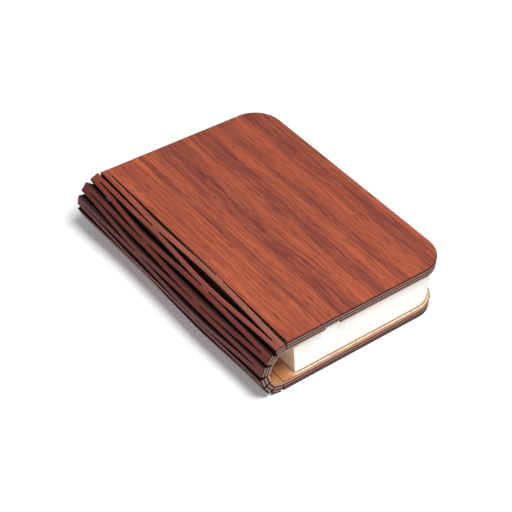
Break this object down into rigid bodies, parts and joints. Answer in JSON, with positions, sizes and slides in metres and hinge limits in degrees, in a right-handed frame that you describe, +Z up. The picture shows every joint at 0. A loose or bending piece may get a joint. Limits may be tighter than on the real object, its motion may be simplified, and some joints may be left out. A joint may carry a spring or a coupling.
{
  "type": "folding book lamp",
  "caption": "Lamp shaped like a small hardback book: slitted wooden covers and spine that fold open over a pleated paper shade with a light strip, battery and charging socket inside.",
  "frame": {"origin": "under the middle of the shut book's overall box, on the surface it lies on", "axes": "+Z up through the shut covers, +X from the spine to the fore edge, +Y along the spine from tail to head, so the charging socket faces -Y"},
  "size_m": [0.0948, 0.122, 0.026],
  "materials": {
    "veneer": "satin",
    "ply": "laser-cut edge, scorched",
    "lining": "satin",
    "spine_wood": "satin",
    "paper": "smooth matt",
    "tape": "matt",
    "battery_foil": "satin",
    "foam": "matt",
    "wire": "satin",
    "board": "satin",
    "chip": "matt",
    "signal_lamp": "clear",
    "shell_steel": "tin plated",
    "tongue": "matt",
    "strip_board": "matt",
    "lamp_phosphor": "clear",
    "diffuser": "frosted",
    "magnet": "nickel plated"
  },
  "bodies": {
    "bottom_cover": {"bottom_cover_skin": "veneer", "bottom_cover_core": "ply", "bottom_cover_lining": "lining", "bottom_magnets": "magnet", "sensor_magnet": "magnet", "bottom_page_tape": "tape", "page_folds_8": "paper"},
    "spine_slat_6": {"spine_slat_6": "spine_wood", "page_folds_7": "paper"},
    "spine_slat_5": {"spine_slat_5": "spine_wood", "page_folds_6": "paper"},
    "spine_slat_4": {"spine_slat_4": "spine_wood", "page_folds_5": "paper"},
    "spine_slat_3": {"spine_slat_3": "spine_wood", "page_folds_4": "paper"},
    "spine_slat_2": {"spine_slat_2": "spine_wood", "page_folds_3": "paper"},
    "spine_slat_1": {"spine_slat_1": "spine_wood", "page_folds_2": "paper"},
    "top_cover": {"top_cover_skin": "veneer", "top_cover_core": "ply", "top_cover_lining": "lining", "top_magnets": "magnet", "top_page_tape": "tape", "battery": "battery_foil", "battery_pad": "foam", "battery_leads": "wire", "circuit_board": "board", "board_chips": "chip", "hall_sensor": "chip", "charge_light": "signal_lamp", "usb_socket": "shell_steel", "usb_tongue": "tongue", "led_board": "strip_board", "leds": "lamp_phosphor", "led_diffuser": "diffuser", "strip_leads": "wire", "page_folds_1": "paper"}
  },
  "joints": [
    {"name": "bottom_cover_fold", "type": "hinge", "parent": "bottom_cover", "child": "spine_slat_6", "pos_m": [-0.03526, 0, 0.0022], "axis": [0, -1, 0], "range_deg": [0, 36]},
    {"name": "spine_fold_5", "type": "hinge", "parent": "spine_slat_6", "child": "spine_slat_5", "pos_m": [-0.04038, 0, 0.00386], "axis": [0, -1, 0], "range_deg": [0, 57.6]},
    {"name": "spine_fold_4", "type": "hinge", "parent": "spine_slat_5", "child": "spine_slat_4", "pos_m": [-0.04407, 0, 0.00779], "axis": [0, -1, 0], "range_deg": [0, 57.6]},
    {"name": "spine_fold_3", "type": "hinge", "parent": "spine_slat_4", "child": "spine_slat_3", "pos_m": [-0.04541, 0, 0.013], "axis": [0, -1, 0], "range_deg": [0, 57.6]},
    {"name": "spine_fold_2", "type": "hinge", "parent": "spine_slat_3", "child": "spine_slat_2", "pos_m": [-0.04407, 0, 0.01821], "axis": [0, -1, 0], "range_deg": [0, 57.6]},
    {"name": "spine_fold_1", "type": "hinge", "parent": "spine_slat_2", "child": "spine_slat_1", "pos_m": [-0.04038, 0, 0.02214], "axis": [0, -1, 0], "range_deg": [0, 57.6]},
    {"name": "top_cover_fold", "type": "hinge", "parent": "spine_slat_1", "child": "top_cover", "pos_m": [-0.03526, 0, 0.0238], "axis": [0, -1, 0], "range_deg": [0, 36]}
  ],
  "couplings": [
    {"joint": "spine_fold_5", "follows": "bottom_cover_fold", "ratio": 1.6},
    {"joint": "spine_fold_4", "follows": "bottom_cover_fold", "ratio": 1.6},
    {"joint": "spine_fold_3", "follows": "bottom_cover_fold", "ratio": 1.6},
    {"joint": "spine_fold_2", "follows": "bottom_cover_fold", "ratio": 1.6},
    {"joint": "spine_fold_1", "follows": "bottom_cover_fold", "ratio": 1.6},
    {"joint": "top_cover_fold", "follows": "bottom_cover_fold", "ratio": 1}
  ]
}
